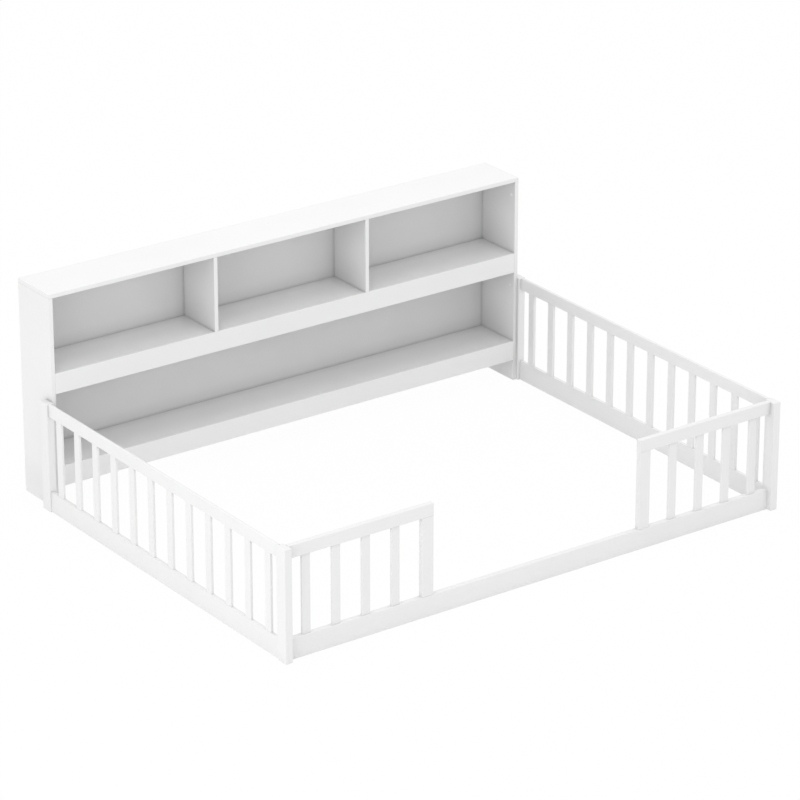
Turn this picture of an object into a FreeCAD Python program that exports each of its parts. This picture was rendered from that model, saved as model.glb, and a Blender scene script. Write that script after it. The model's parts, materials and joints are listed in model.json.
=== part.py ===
import FreeCAD, Part
import os

os.makedirs("parts", exist_ok=True)

# A floor bed with a bookcase along one long side and a low slatted fence
# round the other three. Millimetres. X runs along the bookcase, Y from the
# doorway towards the bookcase, Z up. The origin is on the floor, under the
# middle of the whole bed.

# ---- Driving dimensions ----

# Mattress space, between the rails' inner faces and the bookcase
mattress_length = 2000
mattress_width = 1400

# Bookcase
bookcase_height = 790
bookcase_depth = 200
board = 15
board_round = 0.8
middle_shelf_top = 500
lower_shelf_top = 155
fascia_height = 75
middle_cubby_width = 625
back_thickness = 5
back_rebate = 7
back_clearance = 0.3

# Posts at the corners of the fence
post_width = 28
post_depth = 48
post_height = 400
post_round = 2
rear_post_proud = 10

# Rails of the fence
side_rail_thickness = 12
side_rail_inset = 10
front_rail_thickness = 20
front_rail_inset = 20
top_rail_height = 45
bottom_rail_height = 75
side_rail_round = 3.5
front_rail_round = 3.5
slat_seat_round = 0.8

# Doorway in the front fence
doorway_width = 850
stile_width = 45
stile_round = 2

# Slats
slat_width = 32
slat_thickness = 10
slat_round = 2
side_slat_count = 12
side_slat_end_gap = 45
front_slat_count = 4
front_slat_stile_gap = 86
front_slat_post_gap = 54
tenon_width = 24
tenon_thickness = 6
tenon_length = 10
tenon_clearance = 0.2

# Wooden dowels: the shorter end sits in a face, the longer end in an edge
dowel_radius = 3
dowel_length = 30
dowel_face_depth = 10
dowel_chamfer = 0.8
dowel_clearance = 0.1
dowel_end_clearance = 0.5
top_rail_dowel_spacing = 22
bottom_rail_dowel_spacing = 44
stile_dowel_spacing = 22
fascia_dowel_spacing = 38
panel_dowel_setback = 50
shelf_dowel_setback = 105

# Cam locks: a bolt screwed into a face, drawn in by a cam in the next board
cam_radius = 6
cam_depth = 12
cam_reach = 54
cam_clearance = 0.1
cam_cross_length = 8
cam_cross_width = 1.6
cam_cross_depth = 1.5
cam_bolt_thread_radius = 3
cam_bolt_thread_length = 10
cam_bolt_shank_radius = 2.25
cam_bolt_head_radius = 2.9
cam_bolt_head_length = 3
top_cam_setback = 22
shelf_cam_setbacks = (60, 150)
fascia_cam_offsets = (150, 650)

# Screws that hold the rear posts to the bookcase
screw_radius = 2
screw_length = 36
screw_head_radius = 4
screw_head_depth = 3
screw_tip_length = 4
screw_tip_radius = 0.5
screw_clearance = 0.1
screw_setback = 24
screw_heights = (110, 370)

# Pins that hold the back panel
pin_radius = 0.8
pin_length = 14
pin_head_radius = 1.8
pin_head_depth = 0.8
pin_clearance = 0.05
pin_row_count = 9
pin_row_margin = 60
pin_column_count = 3

# ---- Places worked out from them ----

rail_inner = mattress_length / 2
rail_outer = rail_inner + side_rail_thickness
rail_middle = (rail_inner + rail_outer) / 2
post_inner = rail_inner - side_rail_inset
post_outer = post_inner + post_width
panel_inner = post_inner - board
panel_middle = post_inner - board / 2
divider_middle = (middle_cubby_width + board) / 2

bed_depth = bookcase_depth + mattress_width + front_rail_thickness + front_rail_inset
bookcase_back = bed_depth / 2
bookcase_front = bookcase_back - bookcase_depth
back_face = bookcase_back - back_thickness
front_rail_back = bookcase_front - mattress_width
front_rail_front = front_rail_back - front_rail_thickness
front_rail_middle = (front_rail_back + front_rail_front) / 2
front_post_front = front_rail_front - front_rail_inset
front_post_back = front_post_front + post_depth
rear_post_front = bookcase_front - rear_post_proud
rear_post_back = rear_post_front + post_depth

panel_top = bookcase_height - board
top_rail_bottom = post_height - top_rail_height
door_edge = doorway_width / 2
stile_outer = door_edge + stile_width
stile_middle = (door_edge + stile_outer) / 2

SIDES = ((-1, "left"), (1, "right"))
SHELVES = (
    (middle_shelf_top, "middle_shelf", "upper_fascia"),
    (lower_shelf_top, "lower_shelf", "lower_fascia"),
)


# ---- Shapes ----


def vector(x, y, z):
    return FreeCAD.Vector(x, y, z)


# How near two values are when they count as the same
SAME = 0.01

UP = vector(0, 0, 1)
DOWN = vector(0, 0, -1)
BACK = vector(0, 1, 0)
FORWARD = vector(0, -1, 0)


def block(x_ends, y_ends, z_ends):
    """A rectangular block between two ends along each axis, in any order."""
    spans = [sorted(ends) for ends in (x_ends, y_ends, z_ends)]
    sizes = [high - low for low, high in spans]
    return Part.makeBox(*sizes, vector(*[low for low, high in spans]))


def rounded(solid, radius, chosen):
    """Round the edges of a block that the test chosen picks."""
    edges = [edge for edge in solid.Edges if chosen(edge)]
    return solid.makeFillet(radius, edges)


def runs_along(axis):
    """A test for edges along one axis."""
    return lambda edge: abs(getattr(edge.tangentAt(edge.FirstParameter), axis)) > 1 - SAME


def at_height(z):
    """A test for edges whose middle is at one height."""
    return lambda edge: abs(edge.CenterOfMass.z - z) < SAME


def both(first, second):
    """A test that picks the edges that two tests pick."""
    return lambda edge: first(edge) and second(edge)


def every(edge):
    """A test that picks every edge."""
    return True


def placed(master, point, direction):
    """A copy of a solid made along +Z, moved to a point and turned along a direction."""
    copy = master.copy()
    copy.Placement = FreeCAD.Placement(point, FreeCAD.Rotation(UP, direction))
    return copy


def stacked(start, steps):
    """A round solid along +Z: each step is its length and its radius at either end."""
    solids = []
    height = start
    for length, low_radius, high_radius in steps:
        foot = vector(0, 0, height)
        if low_radius == high_radius:
            solids.append(Part.makeCylinder(low_radius, length, foot))
        else:
            solids.append(Part.makeCone(low_radius, high_radius, length, foot))
        height += length
    return solids[0].multiFuse(solids[1:]).removeSplitter() if solids[1:] else solids[0]


def save(name, solids):
    """Write a sub-part: one solid, or a group of alike ones."""
    shape = solids[0] if len(solids) == 1 else Part.makeCompound(solids)
    shape.exportStep("parts/" + name + ".step")


# ---- Fixings: each joint adds its solids, and the holes that its pieces need ----

holes = []


def drilled(piece):
    """Cut from a piece each hole that reaches it."""
    near = [hole for hole in holes if hole.BoundBox.intersect(piece.BoundBox)]
    return piece.cut(near) if near else piece


def dowel_master():
    """A dowel whose seam is at the origin, with its longer end upwards."""
    tip_radius = dowel_radius - dowel_chamfer
    steps = [
        (dowel_chamfer, tip_radius, dowel_radius),
        (dowel_length - 2 * dowel_chamfer, dowel_radius, dowel_radius),
        (dowel_chamfer, dowel_radius, tip_radius),
    ]
    return stacked(-dowel_face_depth, steps)


def dowel_hole_master():
    hole_radius = dowel_radius + dowel_clearance
    hole_length = dowel_length + 2 * dowel_end_clearance
    return stacked(-dowel_face_depth - dowel_end_clearance, [(hole_length, hole_radius, hole_radius)])


def cam_bolt_master():
    """A cam bolt whose seam is at the origin, with its head upwards."""
    steps = [
        (cam_bolt_thread_length, cam_bolt_thread_radius, cam_bolt_thread_radius),
        (cam_reach - cam_bolt_head_length / 2, cam_bolt_shank_radius, cam_bolt_shank_radius),
        (cam_bolt_head_length, cam_bolt_head_radius, cam_bolt_head_radius),
    ]
    return stacked(-cam_bolt_thread_length, steps)


def cam_bolt_way():
    """The hole that lets a bolt's head slide through a board's edge up to its cam."""
    way = cam_bolt_head_radius + cam_clearance
    way_length = cam_reach + cam_bolt_head_length / 2 + cam_clearance
    thread = cam_bolt_thread_radius + cam_clearance
    steps = [(cam_bolt_thread_length + cam_clearance, thread, thread), (way_length, way, way)]
    return stacked(-cam_bolt_thread_length - cam_clearance, steps)


def cam_master():
    """A cam whose mouth is at the origin, with a cross in its face for a screwdriver."""
    cam = Part.makeCylinder(cam_radius, cam_depth)
    half_length = cam_cross_length / 2
    half_width = cam_cross_width / 2
    long_ends = (-half_length, half_length)
    short_ends = (-half_width, half_width)
    depth_ends = (0, cam_cross_depth)
    return cam.cut([block(long_ends, short_ends, depth_ends), block(short_ends, long_ends, depth_ends)])


def screw_master(grow):
    """A countersunk screw with its head's face at the origin, made larger by grow."""
    radius = screw_radius + grow
    steps = [
        (screw_head_depth, screw_head_radius + grow, radius),
        (screw_length - screw_head_depth - screw_tip_length, radius, radius),
        (screw_tip_length + grow, radius, screw_tip_radius),
    ]
    return stacked(0, steps)


def pin_master(grow):
    """A headed pin with its head's face at the origin, made larger by grow."""
    head = pin_head_radius + grow
    radius = pin_radius + grow
    steps = [(pin_head_depth, head, head), (pin_length - pin_head_depth + grow, radius, radius)]
    return stacked(0, steps)


dowel = dowel_master()
dowel_hole = dowel_hole_master()
dowels = []


def add_dowel(seam, direction):
    """A dowel across a seam, with its longer end along the direction."""
    dowels.append(placed(dowel, seam, direction))
    holes.append(placed(dowel_hole, seam, direction))


cam = cam_master()
cam_hole = Part.makeCylinder(cam_radius + cam_clearance, cam_depth + cam_clearance)
cam_bolt = cam_bolt_master()
cam_bolt_hole = cam_bolt_way()
cams = []
cam_bolts = []


def add_cam(seam, direction, face_direction):
    """A bolt across a seam, along the direction, and its cam, let into the board's face."""
    mouth = seam + direction * cam_reach - face_direction * (board / 2)
    bolt_hole = placed(cam_bolt_hole, seam, direction)
    cams.append(placed(cam, mouth, face_direction).cut(bolt_hole))
    cam_bolts.append(placed(cam_bolt, seam, direction))
    holes.append(bolt_hole)
    holes.append(placed(cam_hole, mouth, face_direction))


def add_fascia_and_shelf_fixings():
    for shelf_top, _, _ in SHELVES:
        shelf_middle = shelf_top - board / 2
        for side, _ in SIDES:
            inward = vector(-side, 0, 0)
            panel_face = side * panel_inner
            add_dowel(vector(panel_face, bookcase_front + shelf_dowel_setback, shelf_middle), inward)
            for setback in shelf_cam_setbacks:
                add_cam(vector(panel_face, bookcase_front + setback, shelf_middle), inward, UP)
            for half in (-1, 1):
                height = shelf_top - fascia_height / 2 + half * fascia_dowel_spacing / 2
                add_dowel(vector(panel_face, bookcase_front + board / 2, height), inward)
            for offset in fascia_cam_offsets:
                add_cam(vector(side * offset, bookcase_front + board, shelf_middle), BACK, UP)


def add_top_and_divider_fixings():
    dowel_front = bookcase_front + panel_dowel_setback
    dowel_back = bookcase_back - panel_dowel_setback
    for side, _ in SIDES:
        outward = vector(side, 0, 0)
        add_cam(vector(side * panel_middle, bookcase_front + top_cam_setback, panel_top), DOWN, outward)
        add_dowel(vector(side * panel_middle, dowel_back, panel_top), DOWN)
        for y in (dowel_front, dowel_back):
            add_dowel(vector(side * divider_middle, y, panel_top), DOWN)
            add_dowel(vector(side * divider_middle, y, middle_shelf_top), UP)


def rail_dowel_heights():
    """The heights of the dowels in the ends of the top and bottom rails."""
    top_middle = post_height - top_rail_height / 2
    bottom_middle = bottom_rail_height / 2
    top = [top_middle + half * top_rail_dowel_spacing / 2 for half in (-1, 1)]
    bottom = [bottom_middle + half * bottom_rail_dowel_spacing / 2 for half in (-1, 1)]
    return top + bottom


def add_fence_fixings():
    for side, _ in SIDES:
        inward = vector(-side, 0, 0)
        for height in rail_dowel_heights():
            add_dowel(vector(side * rail_middle, rear_post_front, height), FORWARD)
            add_dowel(vector(side * rail_middle, front_post_back, height), BACK)
            add_dowel(vector(side * post_inner, front_rail_middle, height), inward)
        for half in (-1, 1):
            x = side * (stile_middle + half * stile_dowel_spacing / 2)
            add_dowel(vector(x, front_rail_middle, top_rail_bottom), DOWN)
            add_dowel(vector(x, front_rail_middle, bottom_rail_height), UP)


screw = screw_master(0)
screw_hole = screw_master(screw_clearance)
screws = []


def add_post_screws():
    for side, _ in SIDES:
        outward = vector(side, 0, 0)
        for height in screw_heights:
            head = vector(side * panel_inner, bookcase_front + screw_setback, height)
            screws.append(placed(screw, head, outward))
            holes.append(placed(screw_hole, head, outward))


pin = pin_master(0)
pin_hole = pin_master(pin_clearance)
pins = []


def evenly(first, last, count):
    """Places at even steps, with one at either end."""
    step = (last - first) / (count - 1)
    return [first + step * number for number in range(count)]


def add_pin(x, z):
    head = vector(x, bookcase_back, z)
    pins.append(placed(pin, head, FORWARD))
    holes.append(placed(pin_hole, head, FORWARD))


def add_back_pins():
    """Rows along the top and the shelves, and columns up the panels and dividers."""
    row_end = panel_inner - pin_row_margin
    for z in (panel_top + back_rebate / 2, middle_shelf_top - board / 2, lower_shelf_top - board / 2):
        for x in evenly(-row_end, row_end, pin_row_count):
            add_pin(x, z)
    for side, _ in SIDES:
        for z in evenly(lower_shelf_top, panel_top, pin_column_count + 2)[1:-1]:
            add_pin(side * (panel_inner + back_rebate / 2), z)
        for z in evenly(middle_shelf_top, panel_top, pin_column_count + 2)[1:-1]:
            add_pin(side * divider_middle, z)


# ---- Slats, and the mortises that they stand in ----


def upright(x, y, width, thickness, faces_front, z_ends):
    """A block that stands on a point in plan; its wide face looks forward or sideways."""
    size_x, size_y = (width, thickness) if faces_front else (thickness, width)
    x_ends = (x - size_x / 2, x + size_x / 2)
    y_ends = (y - size_y / 2, y + size_y / 2)
    return block(x_ends, y_ends, z_ends)


def slat(x, y, faces_front):
    """A rounded bar between the rails, with a stub tenon at either end."""
    bar = upright(x, y, slat_width, slat_thickness, faces_front, (bottom_rail_height, top_rail_bottom))
    bar = rounded(bar, slat_round, runs_along("z"))
    tenon_ends = (bottom_rail_height - tenon_length, top_rail_bottom + tenon_length)
    core = upright(x, y, tenon_width, tenon_thickness, faces_front, tenon_ends)
    return bar.fuse(core).removeSplitter()


def add_mortises(x, y, faces_front):
    """The two mortises that a slat's tenons stand in."""
    width = tenon_width + 2 * tenon_clearance
    thickness = tenon_thickness + 2 * tenon_clearance
    depth = tenon_length + tenon_clearance
    for seat, end in ((bottom_rail_height, -depth), (top_rail_bottom, depth)):
        holes.append(upright(x, y, width, thickness, faces_front, (seat, seat + end)))


def side_slat_places():
    """The middles of one side's slats along Y, from the doorway to the bookcase."""
    margin = side_slat_end_gap + slat_width / 2
    return evenly(front_post_back + margin, rear_post_front - margin, side_slat_count)


def front_slat_places():
    """The middles of one half's slats along X, from the doorway to the post."""
    first = stile_outer + front_slat_stile_gap + slat_width / 2
    last = post_inner - front_slat_post_gap - slat_width / 2
    return evenly(first, last, front_slat_count)


def make_slats():
    for side, side_name in SIDES:
        for number, y in enumerate(side_slat_places(), start=1):
            save("%s_slat_%02d" % (side_name, number), [slat(side * rail_middle, y, False)])
            add_mortises(side * rail_middle, y, False)
        for number, x in enumerate(front_slat_places(), start=1):
            save("front_%s_slat_%d" % (side_name, number), [slat(side * x, front_rail_middle, True)])
            add_mortises(side * x, front_rail_middle, True)


# ---- Bookcase boards ----


def eased(x_ends, y_ends, z_ends):
    """A board with all its edges eased."""
    return rounded(block(x_ends, y_ends, z_ends), board_round, every)


def back_panel_space():
    """The space that the back panel fills, with its edges let into the rebates."""
    side_end = panel_inner + back_rebate
    return block((-side_end, side_end), (back_face, bookcase_back), (0, panel_top + back_rebate))


def top_panel():
    y_ends = (bookcase_front, bookcase_back)
    solid = eased((-post_inner, post_inner), y_ends, (panel_top, bookcase_height))
    return drilled(solid.cut(back_panel_space()))


def side_panel(side):
    x_ends = (side * panel_inner, side * post_inner)
    solid = eased(x_ends, (bookcase_front, bookcase_back), (0, panel_top))
    return drilled(solid.cut(back_panel_space()))


def shelf(shelf_top):
    x_ends = (-panel_inner, panel_inner)
    return drilled(eased(x_ends, (bookcase_front + board, back_face), (shelf_top - board, shelf_top)))


def fascia(shelf_top):
    x_ends = (-panel_inner, panel_inner)
    z_ends = (shelf_top - fascia_height, shelf_top)
    return drilled(eased(x_ends, (bookcase_front, bookcase_front + board), z_ends))


def divider(side):
    x_ends = (side * divider_middle - board / 2, side * divider_middle + board / 2)
    return drilled(eased(x_ends, (bookcase_front, back_face), (middle_shelf_top, panel_top)))


def back_panel():
    side_end = panel_inner + back_rebate - back_clearance
    z_ends = (lower_shelf_top - board, panel_top + back_rebate - back_clearance)
    return drilled(block((-side_end, side_end), (back_face, bookcase_back), z_ends))


def make_bookcase():
    save("top_panel", [top_panel()])
    save("back_panel", [back_panel()])
    for shelf_top, shelf_name, fascia_name in SHELVES:
        save(shelf_name, [shelf(shelf_top)])
        save(fascia_name, [fascia(shelf_top)])
    for side, side_name in SIDES:
        save(side_name + "_side_panel", [side_panel(side)])
        save(side_name + "_divider", [divider(side)])


# ---- Fence ----


def post(side, y_ends):
    solid = block((side * post_inner, side * post_outer), y_ends, (0, post_height))
    return drilled(rounded(solid, post_round, every))


def rail(x_ends, y_ends, z_ends, axis, top_round, underside_round):
    """A rail along an axis, with its long edges rounded above and below."""
    solid = block(x_ends, y_ends, z_ends)
    along = runs_along(axis)
    low, high = z_ends
    solid = rounded(solid, top_round, both(along, at_height(high)))
    return drilled(rounded(solid, underside_round, both(along, at_height(low))))


def side_rail(side, z_ends, top_round):
    x_ends = (side * rail_inner, side * rail_outer)
    return rail(x_ends, (front_post_back, rear_post_front), z_ends, "y", top_round, slat_seat_round)


def front_rail(x_ends, z_ends):
    y_ends = (front_rail_front, front_rail_back)
    return rail(x_ends, y_ends, z_ends, "x", front_rail_round, slat_seat_round)


def door_stile(side):
    x_ends = (side * door_edge, side * stile_outer)
    solid = block(x_ends, (front_rail_front, front_rail_back), (bottom_rail_height, top_rail_bottom))
    return drilled(rounded(solid, stile_round, runs_along("z")))


def make_fence():
    bottom_ends = (0, bottom_rail_height)
    top_ends = (top_rail_bottom, post_height)
    save("front_bottom_rail", [front_rail((-post_inner, post_inner), bottom_ends)])
    for side, side_name in SIDES:
        save("front_%s_post" % side_name, [post(side, (front_post_front, front_post_back))])
        save("rear_%s_post" % side_name, [post(side, (rear_post_front, rear_post_back))])
        save(side_name + "_bottom_rail", [side_rail(side, bottom_ends, slat_seat_round)])
        save(side_name + "_top_rail", [side_rail(side, top_ends, side_rail_round)])
        save("front_%s_top_rail" % side_name, [front_rail((side * door_edge, side * post_inner), top_ends)])
        save(side_name + "_door_stile", [door_stile(side)])


def make_fixings():
    save("wooden_dowels", dowels)
    save("cam_locks", cams)
    save("cam_bolts", cam_bolts)
    save("post_screws", screws)
    save("back_pins", pins)


add_fascia_and_shelf_fixings()
add_top_and_divider_fixings()
add_fence_fixings()
add_post_screws()
add_back_pins()
make_slats()
make_bookcase()
make_fence()
make_fixings()
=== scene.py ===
import json
import math

import bmesh
import bpy
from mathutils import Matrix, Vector


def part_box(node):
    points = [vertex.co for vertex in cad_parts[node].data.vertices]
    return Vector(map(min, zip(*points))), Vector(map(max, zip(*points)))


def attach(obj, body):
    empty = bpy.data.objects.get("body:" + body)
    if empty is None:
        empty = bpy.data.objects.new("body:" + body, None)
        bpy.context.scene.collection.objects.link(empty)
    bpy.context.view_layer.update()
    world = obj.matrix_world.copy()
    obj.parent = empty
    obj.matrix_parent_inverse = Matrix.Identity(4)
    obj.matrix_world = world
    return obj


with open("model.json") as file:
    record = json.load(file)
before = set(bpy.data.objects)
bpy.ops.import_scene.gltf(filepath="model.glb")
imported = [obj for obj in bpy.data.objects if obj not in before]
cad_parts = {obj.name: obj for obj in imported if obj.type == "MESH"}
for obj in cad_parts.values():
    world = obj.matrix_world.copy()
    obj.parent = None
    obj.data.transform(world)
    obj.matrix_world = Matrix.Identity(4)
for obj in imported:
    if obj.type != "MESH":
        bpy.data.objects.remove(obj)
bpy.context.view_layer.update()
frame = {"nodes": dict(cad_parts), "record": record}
nodes = frame["nodes"]

MM = 0.001

# The photograph's camera: degrees, metres, and millimetres for the lens
VIEW_AZIMUTH = -35.722
VIEW_ELEVATION = 23.032
VIEW_DISTANCE = 14.1
VIEW_AIM = Vector((0.0199, 0.0046, 0.3699))
VIEW_REACH = 200
LENS = 185.85
SENSOR = 36

# Paint, plastic, wood and metal, as linear colours
WHITE_BOARD = (0.82, 0.82, 0.82)
WHITE_TIMBER = (0.82, 0.82, 0.82)
# The backing's own white, set darker than the boards' to paint the shade deep in the cubbies
SHADED_BACKING_WHITE = (0.7, 0.7, 0.7)
WHITE_PLASTIC = (0.9, 0.9, 0.9)
BEECH = (0.53, 0.32, 0.14)
PLATED = (0.66, 0.66, 0.67)
BRIGHT_STEEL = (0.6, 0.61, 0.63)
FLOOR_WHITE = (0.86, 0.86, 0.86)

# How far from a joint the painted shade reaches, in metres, and the share of the colour that it
# takes off.
# The bookcase's upright boards carry painted shade over a longer way than its other boards.
CORNER_SHADE_REACH = 0.055
CORNER_SHADE_SHARE = 0.2
UPRIGHT_SHADE_REACH = 0.16
UPRIGHT_SHADE_SHARE = 0.32
SEAM_SHADE_REACH = 0.012
SEAM_SHADE_SHARE = 0.4
TIMBER_SHADE_REACH = 0.02
TIMBER_SHADE_SHARE = 0.4

# Below this height, in metres, the painted shade at joints fades out towards the floor
SHADE_FADE_HEIGHT = 0.12

# Most of a noise field lies between these values
NOISE_LOW = 0.3
NOISE_HIGH = 0.7

# Timber's grain changes along the piece at this share of its rate across
GRAIN_ALONG = 0.04

# Cover caps, in millimetres: the radius, and the heights of the rim and the crown
CAM_CAP = (6.6, 0.35, 1.4)
SCREW_CAP = (5.2, 0.3, 1.0)
CAP_SIDES = 48
CAP_RINGS = 6

# Y and Z of the cam and the screws under the caps, in millimetres
CAM_PLACE = (642, 721)
SCREW_PLACES = (("low", (644, 110)), ("high", (644, 370)))

# The floor: half its side and its drop under the feet, in metres, and the share of what is
# seen of it that is plain white
FLOOR_REACH = 30
FLOOR_DROP = 0.0005
FLOOR_GLOW = 0.97

# The world's strength as a light, and as a background, where 1 is white
WORLD_LIGHT = 1.04
WORLD_WHITE = 1.0

# Square lamps: the name, the place and the point that it faces, the side in metres, and watts
LAMPS = (
    ("left_fill", (-4.2, -1.9, 1.0), (-0.6, -0.4, 0.2), 2.0, 21),
    ("overhead", (0, 0.5, 4.0), (0, 0.2, 0.3), 2.5, 16),
)


# ---- Materials ----


class Shader:
    """A node material with one Principled shader, built up step by step."""

    def __init__(self, name, colour, roughness, metallic=0.0):
        self.material = bpy.data.materials.new(name)
        self.material.use_nodes = True
        self.tree = self.material.node_tree
        self.principled = self.tree.nodes["Principled BSDF"]
        self.colour = colour
        self.roughness = roughness
        self.principled.inputs["Base Color"].default_value = (*colour, 1)
        self.principled.inputs["Roughness"].default_value = roughness
        self.principled.inputs["Metallic"].default_value = metallic
        self.place = self.tree.nodes.new("ShaderNodeTexCoord").outputs["Object"]
        self.normal = None

    def link(self, output, target):
        self.tree.links.new(output, target)

    def noise(self, scale, detail=2.0, stretch=(1, 1, 1)):
        """A noise field: scale is in features per metre, and stretch changes it along each axis."""
        mapping = self.tree.nodes.new("ShaderNodeMapping")
        mapping.inputs["Scale"].default_value = stretch
        field = self.tree.nodes.new("ShaderNodeTexNoise")
        field.inputs["Scale"].default_value = scale
        field.inputs["Detail"].default_value = detail
        self.link(self.place, mapping.inputs["Vector"])
        self.link(mapping.outputs["Vector"], field.inputs["Vector"])
        return field.outputs["Fac"]

    def spread(self, field, low, high, new_low, new_high):
        """A field whose range from low to high is moved to another one."""
        ranges = self.tree.nodes.new("ShaderNodeMapRange")
        ends = {"From Min": low, "From Max": high, "To Min": new_low, "To Max": new_high}
        for socket, value in ends.items():
            ranges.inputs[socket].default_value = value
        self.link(field, ranges.inputs["Value"])
        return ranges.outputs["Result"]

    def darken(self, field, low, high, share):
        """Take a share off the base colour where a field is high, and nothing where it is low."""
        mix = self.tree.nodes.new("ShaderNodeMix")
        mix.data_type = "RGBA"
        base = self.principled.inputs["Base Color"]
        if base.is_linked:
            self.link(base.links[0].from_socket, mix.inputs["A"])
        else:
            mix.inputs["A"].default_value = (*self.colour, 1)
        darker = [channel * (1 - share) for channel in self.colour]
        mix.inputs["B"].default_value = (*darker, 1)
        self.link(self.spread(field, low, high, 0, 1), mix.inputs["Factor"])
        self.link(mix.outputs["Result"], base)

    def paint_joint_shade(self, reach, share):
        """Paint shade into occluded inner corners and along joints, fading it out down at the
        floor.
        """
        occlusion = self.tree.nodes.new("ShaderNodeAmbientOcclusion")
        occlusion.inputs["Distance"].default_value = reach
        painted_shade = self.spread(occlusion.outputs["AO"], 1, 0, 0, 1)
        split = self.tree.nodes.new("ShaderNodeSeparateXYZ")
        self.link(self.place, split.inputs["Vector"])
        # The painted shade fades out towards the floor.
        raised = self.spread(split.outputs["Z"], 0, SHADE_FADE_HEIGHT, 0, 1)
        both = self.tree.nodes.new("ShaderNodeMath")
        both.operation = "MULTIPLY"
        self.link(painted_shade, both.inputs[0])
        self.link(raised, both.inputs[1])
        self.darken(both.outputs["Value"], 0, 1, share)

    def vary_roughness(self, field, change):
        """Make the surface smoother where a field is low and rougher where it is high."""
        ends = (self.roughness - change, self.roughness + change)
        patches = self.spread(field, NOISE_LOW, NOISE_HIGH, *ends)
        self.link(patches, self.principled.inputs["Roughness"])

    def relief(self, field, height):
        """Raise the surface with a field, by a height in metres."""
        bump = self.tree.nodes.new("ShaderNodeBump")
        bump.inputs["Strength"].default_value = 1.0
        bump.inputs["Distance"].default_value = height
        self.link(field, bump.inputs["Height"])
        if self.normal is not None:
            self.link(self.normal, bump.inputs["Normal"])
        self.normal = bump.outputs["Normal"]
        self.link(self.normal, self.principled.inputs["Normal"])


def painted_timber(axis):
    """Satin paint over planed timber: faint grain along the axis, and a roller's stipple."""
    shader = Shader("white_timber_" + axis, WHITE_TIMBER, roughness=0.42)
    stretch = tuple(GRAIN_ALONG if letter == axis else 1 for letter in "xyz")
    grain = shader.noise(scale=260, detail=4, stretch=stretch)
    shader.darken(grain, low=0.55, high=0.8, share=0.05)
    shader.darken(shader.noise(scale=5), low=0.4, high=0.75, share=0.02)
    # Painted shade in the timber's inner corners and joints.
    shader.paint_joint_shade(TIMBER_SHADE_REACH, TIMBER_SHADE_SHARE)
    shader.vary_roughness(shader.noise(scale=30), change=0.05)
    shader.relief(grain, height=0.00012)
    shader.relief(shader.noise(scale=700), height=0.00005)
    return shader.material


def finished_board(name, reach, share):
    """A smooth satin finish with a very fine stipple, and painted shade within reach of a corner.
    """
    shader = Shader(name, WHITE_BOARD, roughness=0.38)
    shader.darken(shader.noise(scale=3), low=0.4, high=0.75, share=0.02)
    # Painted shade in inner corners, and a narrower, stronger painted shade along seams.
    shader.paint_joint_shade(reach, share)
    shader.paint_joint_shade(SEAM_SHADE_REACH, SEAM_SHADE_SHARE)
    shader.vary_roughness(shader.noise(scale=18), change=0.04)
    shader.relief(shader.noise(scale=900), height=0.00004)
    return shader.material


def faced_backing():
    """A matt facing over thin fibreboard with a very fine stipple, its white set darker as painted
    shade.
    """
    shader = Shader("white_backing_finish", SHADED_BACKING_WHITE, roughness=0.55)
    shader.darken(shader.noise(scale=4), low=0.4, high=0.75, share=0.03)
    # Painted shade in inner corners and along seams.
    shader.paint_joint_shade(CORNER_SHADE_REACH, CORNER_SHADE_SHARE)
    shader.paint_joint_shade(SEAM_SHADE_REACH, SEAM_SHADE_SHARE)
    shader.vary_roughness(shader.noise(scale=25), change=0.05)
    shader.relief(shader.noise(scale=1200), height=0.00004)
    return shader.material


def moulded_plastic():
    """Glossy white plastic with a faint moulded grain."""
    shader = Shader("white_cap_plastic", WHITE_PLASTIC, roughness=0.3)
    shader.vary_roughness(shader.noise(scale=900), change=0.05)
    shader.darken(shader.noise(scale=300), low=0.4, high=0.8, share=0.03)
    shader.relief(shader.noise(scale=2500), height=0.00002)
    return shader.material


def bare_beech():
    """Bare dowel wood with its grain and flecks."""
    shader = Shader("dowel_beech", BEECH, roughness=0.6)
    grain = shader.noise(scale=700, detail=4, stretch=(1, 1, 0.2))
    shader.darken(grain, low=0.45, high=0.75, share=0.3)
    shader.relief(grain, height=0.0001)
    return shader.material


def metal(name, colour, roughness, upright_stretch):
    """Plated or drawn metal with fine marks, which a low stretch draws out along Z."""
    shader = Shader(name, colour, roughness, metallic=1.0)
    marks = shader.noise(scale=2500, detail=3, stretch=(1, 1, upright_stretch))
    shader.vary_roughness(marks, change=0.08)
    shader.darken(shader.noise(scale=400), low=0.45, high=0.8, share=0.15)
    shader.relief(marks, height=0.00002)
    return shader.material


# ---- Finishes of the nodes ----

TIMBER_FINISHES = {axis: painted_timber(axis) for axis in "xyz"}
SLOT_FINISHES = {
    "white_board": finished_board("white_board_finish", CORNER_SHADE_REACH, CORNER_SHADE_SHARE),
    "white_backing": faced_backing(),
    "dowel_wood": bare_beech(),
    "cam_metal": metal("cam_plating", PLATED, roughness=0.3, upright_stretch=1),
    "fixing_steel": metal("zinc_plating", BRIGHT_STEEL, roughness=0.35, upright_stretch=0.2),
    "pin_steel": metal("pin_steel", BRIGHT_STEEL, roughness=0.25, upright_stretch=1),
}
# The upright boards get a copy of the board finish whose painted shade reaches further and is
# stronger.
UPRIGHTS = ("left_divider", "right_divider", "left_side_panel", "right_side_panel")
UPRIGHT_SHADED_FINISH = finished_board("white_upright_shaded_finish", UPRIGHT_SHADE_REACH, UPRIGHT_SHADE_SHARE)


def longest_axis(name):
    """The axis that a node is longest along."""
    low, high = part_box(name)
    size = high - low
    return "xyz"[max(range(3), key=lambda index: size[index])]


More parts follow.
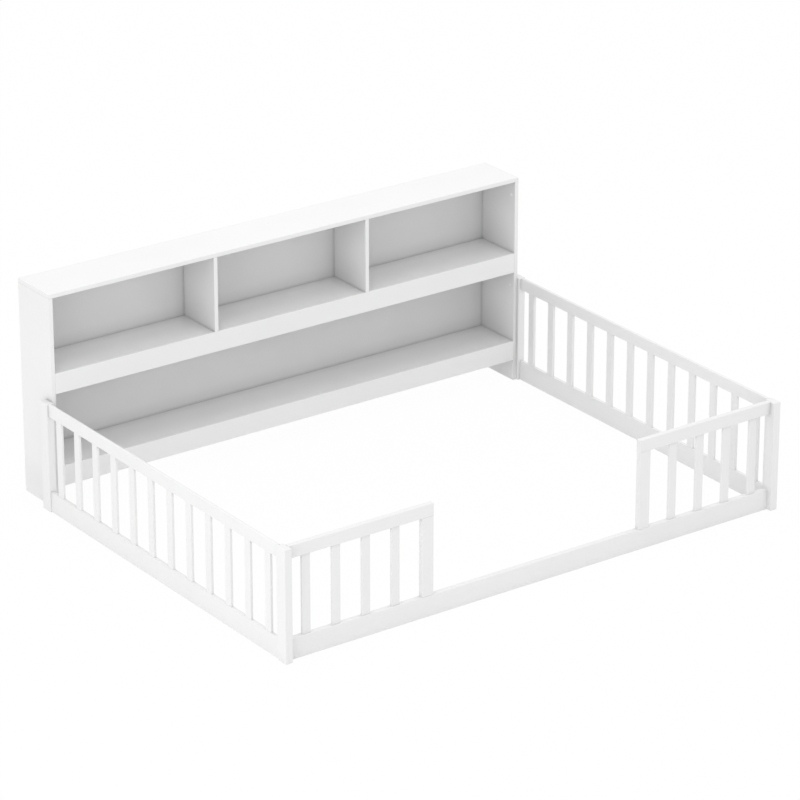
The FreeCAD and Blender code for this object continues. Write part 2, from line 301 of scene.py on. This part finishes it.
def node_finish(name, slot):
    """A node's material: timber's grain runs along the piece."""
    if name in UPRIGHTS:
        return UPRIGHT_SHADED_FINISH
    if slot in SLOT_FINISHES:
        return SLOT_FINISHES[slot]
    return TIMBER_FINISHES[longest_axis(name)]


def finish_nodes():
    """Give each node the finish that its slot calls for."""
    for entry in frame["record"]["subparts"]:
        name = entry["node"]
        slot = entry["material_slot"]
        mesh = nodes[name].data
        mesh.materials.clear()
        mesh.materials.append(node_finish(name, slot))


# ---- Cover caps ----


def cap_profile(radius, rim, crown):
    """Pairs of a radius and a height, from the rim's foot up the dome, without the crown."""
    steps = [math.pi / 2 * step / CAP_RINGS for step in range(CAP_RINGS)]
    dome = [(radius * math.cos(turn), rim + (crown - rim) * math.sin(turn)) for turn in steps]
    return [(radius, 0)] + dome


def cap_mesh(name, panel_face, inward, place, sizes):
    """A closed cap that stands on a side panel's inner face and looks inward along X."""
    mesh = bmesh.new()

    def corner(reach, turn, height):
        x = panel_face + inward * height * MM
        y = (place[0] + reach * math.cos(turn)) * MM
        z = (place[1] + reach * math.sin(turn)) * MM
        return mesh.verts.new((x, y, z))

    radius, rim, crown = sizes
    profile = cap_profile(radius, rim, crown)
    turns = [2 * math.pi * step / CAP_SIDES for step in range(CAP_SIDES)]
    rings = [[corner(reach, turn, height) for turn in turns] for reach, height in profile]
    middle = corner(0, 0, crown)
    foot = mesh.faces.new(rings[0])
    for index in range(CAP_SIDES):
        following = (index + 1) % CAP_SIDES
        for low, high in zip(rings, rings[1:]):
            mesh.faces.new((low[index], low[following], high[following], high[index]))
        mesh.faces.new((rings[-1][index], rings[-1][following], middle))
    bmesh.ops.recalc_face_normals(mesh, faces=mesh.faces)
    for face in mesh.faces:
        face.smooth = True
    foot.smooth = False
    data = bpy.data.meshes.new(name)
    mesh.to_mesh(data)
    mesh.free()
    return data


def cover_cap(name, panel_face, inward, place, sizes, material):
    """Put one cap on a side panel."""
    data = cap_mesh(name, panel_face, inward, place, sizes)
    data.materials.append(material)
    cap = bpy.data.objects.new(name, data)
    bpy.context.scene.collection.objects.link(cap)
    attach(cap, "root")


def add_cover_caps():
    """Domed plastic caps on both side panels, over a cam and the two screws of the rear post."""
    plastic = moulded_plastic()
    panel_faces = (
        ("left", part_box("left_side_panel")[1].x, 1),
        ("right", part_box("right_side_panel")[0].x, -1),
    )
    for side, face, inward in panel_faces:
        cover_cap("cam_cap_" + side, face, inward, CAM_PLACE, CAM_CAP, plastic)
        for level, place in SCREW_PLACES:
            cover_cap(f"screw_cap_{side}_{level}", face, inward, place, SCREW_CAP, plastic)


# ---- Floor, light and camera ----


def seen_directly(tree):
    """1 where a camera, mirror or glass ray arrives, 0 for light that only bounces."""
    path = tree.nodes.new("ShaderNodeLightPath")
    seen = path.outputs["Is Camera Ray"]
    for name in ("Is Glossy Ray", "Is Transmission Ray"):
        either = tree.nodes.new("ShaderNodeMath")
        either.operation = "MAXIMUM"
        tree.links.new(seen, either.inputs[0])
        tree.links.new(path.outputs[name], either.inputs[1])
        seen = either.outputs["Value"]
    return seen


def floor_material():
    """White paint for the light, which shows nearly pure white with a trace of its shadows."""
    material = bpy.data.materials.new("floor_white")
    material.use_nodes = True
    tree = material.node_tree
    tree.nodes.clear()
    output = tree.nodes.new("ShaderNodeOutputMaterial")
    diffuse = tree.nodes.new("ShaderNodeBsdfDiffuse")
    diffuse.inputs["Color"].default_value = (*FLOOR_WHITE, 1)
    glow = tree.nodes.new("ShaderNodeEmission")
    glow.inputs["Color"].default_value = (1, 1, 1, 1)
    share = tree.nodes.new("ShaderNodeMath")
    share.operation = "MULTIPLY"
    share.inputs[1].default_value = FLOOR_GLOW
    tree.links.new(seen_directly(tree), share.inputs[0])
    mix = tree.nodes.new("ShaderNodeMixShader")
    tree.links.new(share.outputs["Value"], mix.inputs["Fac"])
    tree.links.new(diffuse.outputs["BSDF"], mix.inputs[1])
    tree.links.new(glow.outputs["Emission"], mix.inputs[2])
    tree.links.new(mix.outputs["Shader"], output.inputs["Surface"])
    return material


def make_floor():
    """A wide flat floor under the bed, which stays out of the model."""
    bpy.ops.mesh.primitive_plane_add(size=2 * FLOOR_REACH, location=(0, 0, -FLOOR_DROP))
    floor = bpy.context.object
    floor.name = "floor"
    floor.data.materials.append(floor_material())


def make_world():
    """An even white dome, which lights the bed a little more strongly than it shows."""
    world = bpy.data.worlds.new("studio")
    bpy.context.scene.world = world
    world.use_nodes = True
    tree = world.node_tree
    background = tree.nodes["Background"]
    background.inputs["Color"].default_value = (1, 1, 1, 1)
    strength = tree.nodes.new("ShaderNodeMapRange")
    strength.inputs["To Min"].default_value = WORLD_LIGHT
    strength.inputs["To Max"].default_value = WORLD_WHITE
    tree.links.new(seen_directly(tree), strength.inputs["Value"])
    tree.links.new(strength.outputs["Result"], background.inputs["Strength"])


def area_light(name, place, aim, size, power):
    """A square lamp that faces a point."""
    data = bpy.data.lights.new(name, "AREA")
    data.shape = "SQUARE"
    data.size = size
    data.energy = power
    lamp = bpy.data.objects.new(name, data)
    bpy.context.scene.collection.objects.link(lamp)
    lamp.location = place
    lamp.rotation_euler = (Vector(aim) - Vector(place)).to_track_quat("-Z", "Y").to_euler()


def make_camera():
    """A camera on a sphere round the point that it aims at."""
    azimuth = math.radians(VIEW_AZIMUTH)
    elevation = math.radians(VIEW_ELEVATION)
    flat = math.cos(elevation)
    back = Vector((math.sin(azimuth) * flat, -math.cos(azimuth) * flat, math.sin(elevation)))
    data = bpy.data.cameras.new("camera")
    data.lens = LENS
    data.sensor_width = SENSOR
    data.clip_end = VIEW_REACH
    camera = bpy.data.objects.new("camera", data)
    bpy.context.scene.collection.objects.link(camera)
    camera.location = VIEW_AIM + back * VIEW_DISTANCE
    camera.rotation_euler = (-back).to_track_quat("-Z", "Y").to_euler()
    bpy.context.scene.camera = camera


finish_nodes()
add_cover_caps()
make_floor()
make_world()
for lamp in LAMPS:
    area_light(*lamp)
make_camera()
bpy.context.scene.view_settings.view_transform = "Standard"
